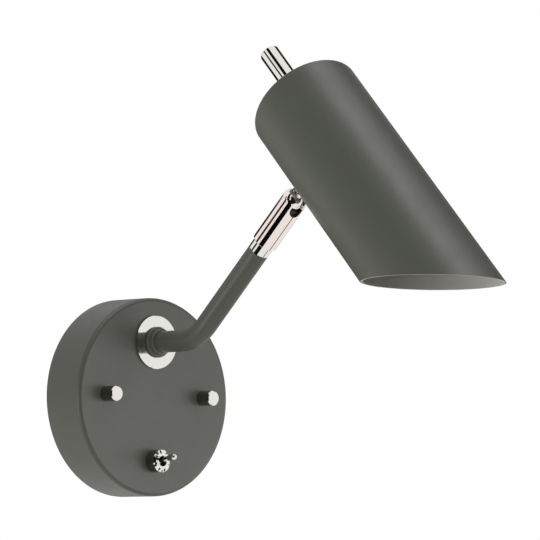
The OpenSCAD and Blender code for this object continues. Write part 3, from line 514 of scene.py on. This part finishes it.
def shaded_neck_thread():
    """The toggle switch's brass neck, darkened almost to black as painted shade in the dress nut's hole."""
    return threaded("shaded_neck_thread", HOLE_SHADE_BRASS).material


def plain_brass():
    return grained("plain_brass", (0.66, 0.50, 0.24), roughness=0.28, relief=0.2, grains=900.0,
                   spread=0.2, metallic=1.0, marks=0.12).material


def dark_moulding():
    return grained("dark_moulding", (0.02, 0.02, 0.021), roughness=0.45, relief=0.5,
                   grains=2500.0).material


def pale_moulding():
    return grained("pale_moulding", (0.70, 0.68, 0.60), roughness=0.42, relief=0.4,
                   grains=2500.0).material


def core_sleeve():
    return grained("core_sleeve", (0.035, 0.03, 0.03), roughness=0.45, relief=0.3,
                   grains=2500.0).material


def lead_sleeve():
    return grained("lead_sleeve", (0.70, 0.68, 0.62), roughness=0.5, relief=0.4,
                   grains=2200.0).material


def porcelain():
    return grained("porcelain", (0.80, 0.79, 0.74), roughness=0.14, relief=0.2, grains=500.0,
                   spread=0.05).material


def lamp_body():
    return grained("lamp_body", (0.78, 0.78, 0.76), roughness=0.35, relief=0.3, grains=2000.0,
                   spread=0.05).material


def lamp_glass():
    """Frosted front of the lamp, pressed with a pattern of small pebbles."""
    surface = grained("lamp_glass", (0.84, 0.84, 0.82), roughness=0.2, relief=0.3, grains=2600.0,
                      spread=0.04, marks=0.05)
    place = add_node(surface.tree, "ShaderNodeTexCoord")
    pebbles = add_node(surface.tree, "ShaderNodeTexVoronoi", feature="SMOOTH_F1",
                       Scale=PEBBLES_PER_METRE)
    wire(surface.tree, (place.outputs["Object"], pebbles.inputs["Vector"]))
    press(surface, pebbles.outputs["Distance"], strength=0.7, depth=PEBBLE_DEPTH, invert=True)
    return surface.material


# Pieces whose finish differs from the rest of their slot
OWN_FINISH = {
    "shade": shade_paint, "swivel_socket": warm_nickel, "thumb_nuts": shaded_side_nickel,
    "dress_nut": shaded_side_nickel, "bracket_studs": wall_thread, "arm_nipple": wall_thread,
    "switch_neck": shaded_neck_thread, "knob_screw": plated_steel,
}


def dress(**finishes):
    """Gives each piece in the named material slots its finish."""
    made = {}
    for part in frame["record"]["subparts"]:
        if part["material_slot"] not in finishes:
            continue
        make = OWN_FINISH.get(part["node"], finishes[part["material_slot"]])
        if make not in made:
            made[make] = make()
        slots = NODES[part["node"]].data.materials
        slots.clear()
        slots.append(made[make])


class LAMP_OT_paint(bpy.types.Operator):
    """Spray the cover, the collar, the arm and the shade"""

    bl_idname = "lamp.paint"
    bl_label = "Paint"

    def execute(self, context):
        dress(satin_paint=satin_paint)
        return {"FINISHED"}


class LAMP_OT_polish(bpy.types.Operator):
    """Polish the nickel disc, nuts, lever, ferrule, ball swivel and knob"""

    bl_idname = "lamp.polish"
    bl_label = "Polish"

    def execute(self, context):
        dress(polished_nickel=polished_nickel)
        return {"FINISHED"}


class LAMP_OT_fixings(bpy.types.Operator):
    """Finish the steel and brass bracket, studs, nuts, springs, screws and blades"""

    bl_idname = "lamp.fixings"
    bl_label = "Fixings"

    def execute(self, context):
        dress(zinc_steel=zinc_steel, plain_brass=plain_brass)
        return {"FINISHED"}


class LAMP_OT_mouldings(bpy.types.Operator):
    """Finish the switch's case, the terminal block, the bush, the ball's seat and the leads"""

    bl_idname = "lamp.mouldings"
    bl_label = "Mouldings and leads"

    def execute(self, context):
        dress(dark_moulding=dark_moulding, pale_moulding=pale_moulding, core_sleeve=core_sleeve,
              lead_sleeve=lead_sleeve)
        return {"FINISHED"}


class LAMP_OT_bulb(bpy.types.Operator):
    """Finish the lampholder, the reflector lamp and its front"""

    bl_idname = "lamp.bulb"
    bl_label = "Lampholder and lamp"

    def execute(self, context):
        dress(porcelain=porcelain, lamp_body=lamp_body, lamp_glass=lamp_glass)
        return {"FINISHED"}


# Stage


def add_object(name, data):
    thing = bpy.data.objects.new(name, data)
    bpy.context.scene.collection.objects.link(thing)
    return thing


def compass(turn, rise):
    """Direction for an azimuth and an elevation; azimuth 0 is the lamp's front, 90 its right."""
    return Vector((math.sin(turn) * math.cos(rise), -math.cos(turn) * math.cos(rise),
                   math.sin(rise)))


def in_direction(azimuth, elevation, reach):
    """Place that far from the lamp's middle, at angles in degrees."""
    return LAMP_MIDDLE + compass(math.radians(azimuth), math.radians(elevation)) * reach


def camera_frame():
    """The camera's right, up and back directions, from its azimuth, elevation and roll."""
    look = studio_settings()
    turn, roll = look.azimuth, look.roll
    back = compass(-turn, look.elevation)
    right = Vector((math.cos(turn), -math.sin(turn), 0))
    up = back.cross(right)
    return (math.cos(roll) * right + math.sin(roll) * up,
            math.cos(roll) * up - math.sin(roll) * right, back)


def aim_camera():
    """Camera whose picture puts the cover where the photograph has it, with no shift."""
    look = studio_settings()
    right, up, back = camera_frame()
    low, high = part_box("canopy")
    cover = Vector(((low.x + high.x) / 2, 0, (low.z + high.z) / 2))
    across = (look.cover_right - PHOTO_SIDE / 2) / look.scale * MM
    down = (look.cover_down - PHOTO_SIDE / 2) / look.scale * MM
    data = bpy.data.cameras.new("camera")
    data.sensor_width = FILM_WIDTH
    data.lens = look.scale / MM * look.distance / PHOTO_SIDE * FILM_WIDTH
    data.clip_start, data.clip_end = CLIP_START, CLIP_END
    camera = add_object("camera", data)
    place = cover + back * look.distance - right * across + up * down
    turned = Matrix((right, up, back)).transposed().to_4x4()
    camera.matrix_world = Matrix.Translation(place) @ turned
    bpy.context.scene.camera = camera


def soft_lights(table):
    """A square softbox for each row of a table, looking at the lamp's middle."""
    for name, (azimuth, elevation, side, power) in table.items():
        data = bpy.data.lights.new(name, "AREA")
        data.size = side
        data.energy = power
        light = add_object(name, data)
        light.location = in_direction(azimuth, elevation, LIGHT_REACH)
        light.rotation_mode = "QUATERNION"
        light.rotation_quaternion = (LAMP_MIDDLE - light.location).to_track_quat("-Z", "Y")
        yield light


def painted_pieces():
    """Collection of the painted pieces, for the lights that shine on them alone."""
    pieces = bpy.data.collections.new("painted_pieces")
    for part in frame["record"]["subparts"]:
        if part["material_slot"] == "satin_paint":
            pieces.objects.link(NODES[part["node"]])
    return pieces


def add_lights():
    for light in soft_lights(GLOWS):
        light.visible_glossy = False
    pieces = painted_pieces()
    for light in soft_lights(SHEENS):
        light.visible_diffuse = False
        light.light_linking.receiver_collection = pieces


def panel_mesh(name, azimuths, elevations):
    """Curved panel round the lamp, between two azimuths and two elevations."""
    shares = [step / FLAG_STEPS for step in range(FLAG_STEPS + 1)]
    corners = [in_direction(azimuths[0] + across * (azimuths[1] - azimuths[0]),
                            elevations[0] + up * (elevations[1] - elevations[0]), FLAG_REACH)
               for up in shares for across in shares]
    row = FLAG_STEPS + 1
    faces = [(low, low + 1, low + row + 1, low + row)
             for start in range(0, FLAG_STEPS * row, row)
             for low in range(start, start + FLAG_STEPS)]
    mesh = bpy.data.meshes.new(name)
    mesh.from_pydata(corners, [], faces)
    return mesh


def flag(name, azimuths, elevations, colour):
    """Dark studio flag, a curved panel that only mirrored rays see."""
    mesh = panel_mesh(name, azimuths, elevations)
    panel = add_object(name, mesh)
    material = bpy.data.materials.new(name)
    material.use_nodes = True
    tree = material.node_tree
    tree.nodes.clear()
    shine = add_node(tree, "ShaderNodeEmission", Color=(*colour, 1))
    out = add_node(tree, "ShaderNodeOutputMaterial")
    wire(tree, (shine.outputs[0], out.inputs["Surface"]))
    mesh.materials.append(material)
    panel.visible_camera = panel.visible_diffuse = False
    panel.visible_shadow = panel.visible_transmission = False


def white_to_mirrors(tree):
    """Factor that is 1 for rays of the camera, of mirrors and through glass."""
    path = add_node(tree, "ShaderNodeLightPath")
    seen = math_node(tree, "MAXIMUM", path.outputs["Is Camera Ray"],
                     path.outputs["Is Glossy Ray"])
    return math_node(tree, "MAXIMUM", seen, path.outputs["Is Transmission Ray"])


def make_world():
    """White surroundings, which light the lamp a little less than they show."""
    world = bpy.data.worlds.new("studio")
    bpy.context.scene.world = world
    world.use_nodes = True
    tree = world.node_tree
    even = tree.nodes["Background"]
    even.inputs["Color"].default_value = (1, 1, 1, 1)
    even.inputs["Strength"].default_value = studio_settings().fill
    white = add_node(tree, "ShaderNodeBackground", Color=(1, 1, 1, 1), Strength=1.0)
    mix = add_node(tree, "ShaderNodeMixShader")
    wire(tree, (white_to_mirrors(tree), mix.inputs[0]), (even.outputs[0], mix.inputs[1]),
         (white.outputs[0], mix.inputs[2]),
         (mix.outputs[0], tree.nodes["World Output"].inputs["Surface"]))


def fade_floor(tree, shader):
    """Lets the floor fade into the white far out and be clear from below."""
    place = add_node(tree, "ShaderNodeTexCoord")
    far = add_node(tree, "ShaderNodeVectorMath", operation="LENGTH")
    faded = add_node(tree, "ShaderNodeMapRange", interpolation_type="SMOOTHSTEP",
                     From_Min=FLOOR_FADE[0], From_Max=FLOOR_FADE[1])
    side = add_node(tree, "ShaderNodeNewGeometry")
    clear = add_node(tree, "ShaderNodeBsdfTransparent")
    mix = add_node(tree, "ShaderNodeMixShader")
    wire(tree, (place.outputs["Object"], far.inputs[0]),
         (far.outputs["Value"], faded.inputs["Value"]))
    gone = math_node(tree, "MAXIMUM", faded.outputs["Result"], side.outputs["Backfacing"])
    wire(tree, (gone, mix.inputs[0]), (shader.outputs[0], mix.inputs[1]),
         (clear.outputs[0], mix.inputs[2]),
         (mix.outputs[0], tree.nodes["Material Output"].inputs["Surface"]))


def make_floor():
    """Pale floor, well below the lamp as a bedroom's floor is, that no piece mirrors."""
    mesh = bpy.data.meshes.new("floor")
    corners = [(x * FLOOR_REACH, y * FLOOR_REACH, 0)
               for x, y in ((-1, -1), (1, -1), (1, 1), (-1, 1))]
    mesh.from_pydata(corners, [], [(0, 1, 2, 3)])
    floor = add_object("floor", mesh)
    floor.location.z = -studio_settings().floor_drop
    material, tree, shader = new_material("floor")
    shader.inputs["Base Color"].default_value = (*FLOOR_COLOUR, 1)
    shader.inputs["Roughness"].default_value = FLOOR_ROUGHNESS
    fade_floor(tree, shader)
    mesh.materials.append(material)
    floor.visible_glossy = False


class LAMP_OT_stage(bpy.types.Operator):
    """Set the camera, the white surroundings, the floor, the dark flags and the lights"""

    bl_idname = "lamp.stage"
    bl_label = "Stage"

    def execute(self, context):
        aim_camera()
        make_world()
        make_floor()
        for name, (azimuths, elevations, colour) in FLAGS.items():
            flag(name, azimuths, elevations, colour)
        add_lights()
        bpy.context.scene.view_settings.view_transform = "Standard"
        return {"FINISHED"}


# Panel and registration


class LAMP_PT_panel(bpy.types.Panel):
    """Steps that dress the lamp"""

    bl_label = "Wall reading lamp"
    bl_idname = "LAMP_PT_panel"
    bl_space_type = "VIEW_3D"
    bl_region_type = "UI"
    bl_category = "Lamp"

    def draw(self, context):
        for step in STEPS:
            self.layout.operator(step.bl_idname)


SETTINGS = (LampFinish, LampStudio)
STEPS = (LAMP_OT_paint, LAMP_OT_polish, LAMP_OT_fixings, LAMP_OT_mouldings, LAMP_OT_bulb,
         LAMP_OT_stage)
CLASSES = (*SETTINGS, *STEPS, LAMP_PT_panel)


def register():
    for cls in CLASSES:
        bpy.utils.register_class(cls)
    bpy.types.Scene.lamp_finish = PointerProperty(type=LampFinish)
    bpy.types.Scene.lamp_studio = PointerProperty(type=LampStudio)


def unregister():
    del bpy.types.Scene.lamp_studio
    del bpy.types.Scene.lamp_finish
    for cls in reversed(CLASSES):
        bpy.utils.unregister_class(cls)


def main():
    register()
    bpy.ops.lamp.paint()
    bpy.ops.lamp.polish()
    bpy.ops.lamp.fixings()
    bpy.ops.lamp.mouldings()
    bpy.ops.lamp.bulb()
    bpy.ops.lamp.stage()


if __name__ == "__main__":
    main()
